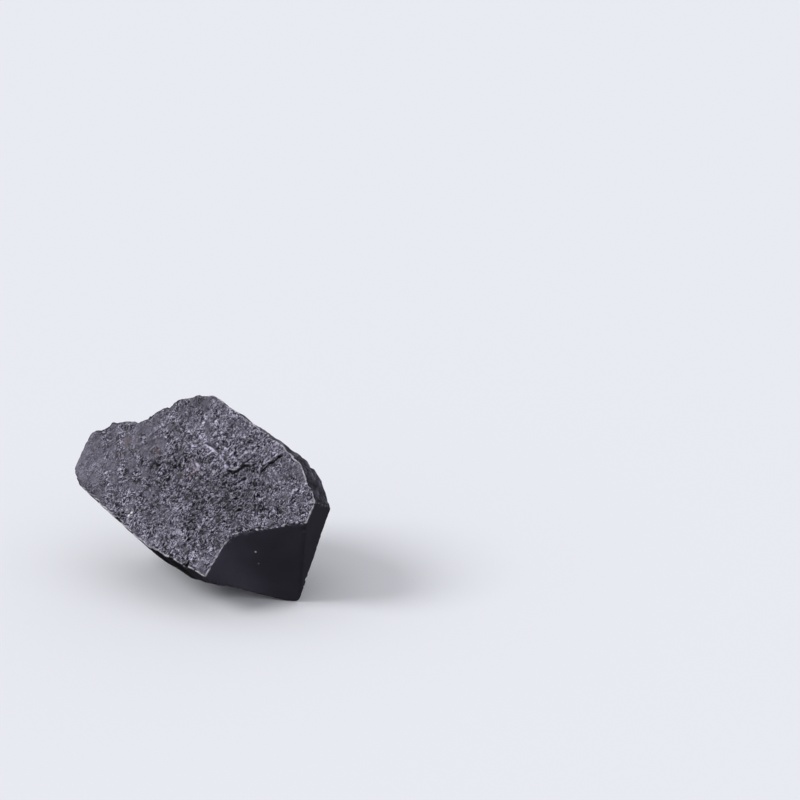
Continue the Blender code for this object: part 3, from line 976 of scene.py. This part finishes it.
def plain_material(name, colour, roughness):
    material = bpy.data.materials.new(name)
    material.use_nodes = True
    shader = material.node_tree.nodes["Principled BSDF"]
    shader.inputs["Base Color"].default_value = (*colour, 1.0)
    shader.inputs["Roughness"].default_value = roughness
    shader.inputs["Specular IOR Level"].default_value = 0.0
    return material


# Settings, operators and panel


def length(name, description, default, low=0.0):
    """A length in metres, shown in the scene's units."""
    return FloatProperty(
        name=name, description=description, default=default, min=low, precision=5,
        subtype="DISTANCE", unit="LENGTH",
    )


def angle(name, description, degrees):
    """An angle, given in degrees."""
    return FloatProperty(
        name=name, description=description, default=math.radians(degrees), min=-math.pi,
        max=math.pi, subtype="ANGLE", unit="ROTATION",
    )


def number(name, description, default, low=0.0):
    """A plain number."""
    return FloatProperty(name=name, description=description, default=default, min=low)


def colour(name, description, *default):
    """A linear colour of three or four channels."""
    return FloatVectorProperty(
        name=name, description=description, default=default, min=0.0, max=1.0, size=len(default),
        subtype="COLOR",
    )


class ShungiteStoneSettings(bpy.types.PropertyGroup):
    """Sizes and colours of the stone."""

    crust_edge_radius: length(
        "Crust edge radius", "Rounding of the edges of the crust", 0.00008, 0.00002
    )
    edge_radius: length("Edge radius", "Rounding of the other edges", 0.00025, 0.00005)
    nick_depth: length("Nick depth", "Depth of the small chips along the edges", 0.0014)
    # Width of the band of rubbed edges with painted highlights, and of the painted shade along the
    # crust's far rim.
    edge_band_width: length("Worn width", "Width of the rubbed band along the edges", 0.0007, 0.0001)
    grain_size: length("Grain size", "Spacing of the grain of the crust", 0.00128, 0.001)
    grain_height: length("Grain height", "Height of the grain of the crust", 0.0002)
    grain_contrast: number("Grain contrast", "How much the grain changes the tone", 1.0)
    fine_scale: number("Fine grain scale", "How fine the grain below the mesh is", 1600.0, 50.0)
    fine_contrast: number("Fine grain contrast", "How much that grain changes the tone", 4.9)
    crust_colour: colour("Crust colour", "Mean colour of the grainy crust", 0.12, 0.114, 0.146)
    rough_colour: colour("Rough break colour", "Mean colour of rough breaks", 0.043, 0.041, 0.056)
    break_colour: colour("Fresh break colour", "Colour of smooth breaks", 0.0435, 0.0405, 0.057)
    # Colour of the rubbed edges and of the painted highlights along them.
    edge_rub_and_highlight_colour: colour("Edge colour", "Colour of rubbed edges", 0.55, 0.54, 0.6, 1.0)
    glint_colour: colour("Speck colour", "Colour of the pale specks", 0.8, 0.79, 0.83, 1.0)
    stain_colour: colour("Stain colour", "Colour of the rusty stains", 0.17, 0.115, 0.105, 1.0)


class StoneStageSettings(bpy.types.PropertyGroup):
    """Floor, lights and camera."""

    floor_width: length("Floor width", "Side of the square floor", 12.0, 1.0)
    floor_colour: colour("Floor colour", "Colour of the floor", 0.79, 0.8, 0.845)
    sky_strength: number("Light from above", "Strength of the even light from above level", 0.735)
    bounce_strength: number("Light from below", "Strength of the light from below level", 0.06)
    key_strength: number("Key light", "Strength of the wide soft key light", 1.45)
    key_width: angle("Key width", "How wide the key light looks from the stone", 26.0)
    key_turn: angle("Key turn", "Way to the key light, round from +X", -165.0)
    key_rise: angle("Key rise", "Way to the key light, up from level", 43.0)
    camera_place: FloatVectorProperty(
        name="Camera place", description="Where the camera stands",
        default=(0.0645, -0.5638, 0.2441), size=3, subtype="TRANSLATION", unit="LENGTH",
    )
    camera_drop: angle("Camera drop", "How far the camera looks down from level", 18.0)
    camera_lens: FloatProperty(
        name="Focal length", description="Focal length in millimetres on a 36 mm sensor",
        default=85.0, min=10.0, max=300.0, unit="CAMERA",
    )


class ShungiteStoneBuild(bpy.types.Operator):
    """Build the stone and its material"""

    bl_idname = "mesh.shungite_stone_build"
    bl_label = "Build shungite stone"

    def execute(self, context):
        settings = context.scene.shungite_stone
        if CAD_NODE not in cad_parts:
            raise RuntimeError(f"the solid has no piece named {CAD_NODE}")
        points, quads, marks = stone_surface(settings)
        if not all(np.isfinite(values).all() for values in (points, *marks.values())):
            raise RuntimeError("the surface could not be worked out with these sizes")
        triangles = split_quads(points, quads)
        marks["grey"] = smooth_step(0.4, 0.6, marks["grey"][triangles].mean(axis=1))
        mesh = mesh_from("shungite_surface", points, triangles, marks)
        nearest = [np.linalg.norm(points - speck[0], axis=1).argmin() for speck in PALE_SPECKS]
        mesh.materials.append(stone_material(settings, points[nearest].tolist()))
        stone = place_object(context.scene, "shungite_surface", mesh)
        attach(stone, "root")
        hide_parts(CAD_NODE)
        return {"FINISHED"}


def place_object(scene, name, data):
    made = bpy.data.objects.new(name, data)
    scene.collection.objects.link(made)
    return made


def grid_sheet(name, width, cells, height):
    """A level square sheet: x and y run from -width/2 to width/2 on a grid, z is `height`."""
    line = np.linspace(-width / 2.0, width / 2.0, cells + 1)
    x, y = np.meshgrid(line, line, indexing="ij")
    points = np.stack([x.ravel(), y.ravel(), np.full(x.size, height)], axis=1)
    n, m = np.meshgrid(np.arange(cells), np.arange(cells), indexing="ij")
    first = (n * (cells + 1) + m).ravel()
    quads = np.stack([first, first + cells + 1, first + cells + 2, first + 1], axis=1)
    mesh = bpy.data.meshes.new(name)
    mesh.from_pydata(points.tolist(), [], quads.tolist())
    return mesh


def even_light(settings):
    """A world that is bright above level and dimmer below it, with a soft change between them."""
    world = bpy.data.worlds.new("even_light")
    world.use_nodes = True
    desk = NodeDesk(world.node_tree)
    way = desk.node("ShaderNodeTexCoord").outputs["Generated"]
    height = desk.node("ShaderNodeSeparateXYZ", {0: way}).outputs["Z"]
    strength = desk.span(height, *LEVEL_SPAN, settings.bounce_strength, settings.sky_strength)
    background = world.node_tree.nodes["Background"]
    desk.put(background.inputs["Color"], SKY_COLOUR)
    desk.put(background.inputs["Strength"], strength)
    return world


class StoneStageBuild(bpy.types.Operator):
    """Build the pale floor, the soft lights and the camera"""

    bl_idname = "scene.shungite_stage_build"
    bl_label = "Build plain stage"

    def execute(self, context):
        scene = context.scene
        settings = scene.shungite_stage
        if settings.floor_width <= 2.0 * max(abs(value) for corner in CAD_BOX for value in corner):
            raise RuntimeError("the floor is too small for the stone")
        mesh = grid_sheet("pale_floor", settings.floor_width, 8, -0.0001)
        mesh.materials.append(plain_material("pale_floor", settings.floor_colour, 0.9))
        floor = place_object(scene, "pale_floor", mesh)
        floor.visible_diffuse = False
        floor.visible_glossy = False

        scene.world = even_light(settings)
        lamp = bpy.data.lights.new("soft_key", "SUN")
        lamp.energy = settings.key_strength
        lamp.angle = settings.key_width
        key = place_object(scene, "soft_key", lamp)
        key.location = unit(math.degrees(settings.key_turn), math.degrees(settings.key_rise))
        quarter = math.pi / 2.0
        key.rotation_euler = (quarter - settings.key_rise, 0.0, settings.key_turn + quarter)

        lens = bpy.data.cameras.new("stone_camera")
        lens.lens = settings.camera_lens
        lens.sensor_width = 36.0
        lens.clip_end = 50.0
        camera = place_object(scene, "stone_camera", lens)
        camera.location = settings.camera_place
        camera.rotation_euler = (quarter - settings.camera_drop, 0.0, 0.0)
        scene.camera = camera
        scene.view_settings.view_transform = "Standard"
        return {"FINISHED"}


class ShungiteStonePanel(bpy.types.Panel):
    """Sizes, colours and buttons of the stone"""

    bl_label = "Shungite stone"
    bl_idname = "VIEW3D_PT_shungite_stone"
    bl_space_type = "VIEW_3D"
    bl_region_type = "UI"
    bl_category = "Stone"

    def draw(self, context):
        for settings, operator in (
            (context.scene.shungite_stone, ShungiteStoneBuild.bl_idname),
            (context.scene.shungite_stage, StoneStageBuild.bl_idname),
        ):
            box = self.layout.box()
            for name in settings.__annotations__:
                box.prop(settings, name)
            box.operator(operator)


CLASSES = (
    ShungiteStoneSettings, StoneStageSettings, ShungiteStoneBuild, StoneStageBuild,
    ShungiteStonePanel,
)


def register():
    for item in CLASSES:
        bpy.utils.register_class(item)
    bpy.types.Scene.shungite_stone = PointerProperty(type=ShungiteStoneSettings)
    bpy.types.Scene.shungite_stage = PointerProperty(type=StoneStageSettings)


def unregister():
    del bpy.types.Scene.shungite_stage
    del bpy.types.Scene.shungite_stone
    for item in reversed(CLASSES):
        bpy.utils.unregister_class(item)


def main():
    register()
    bpy.ops.mesh.shungite_stone_build()
    bpy.ops.scene.shungite_stage_build()


if __name__ == "__main__":
    main()
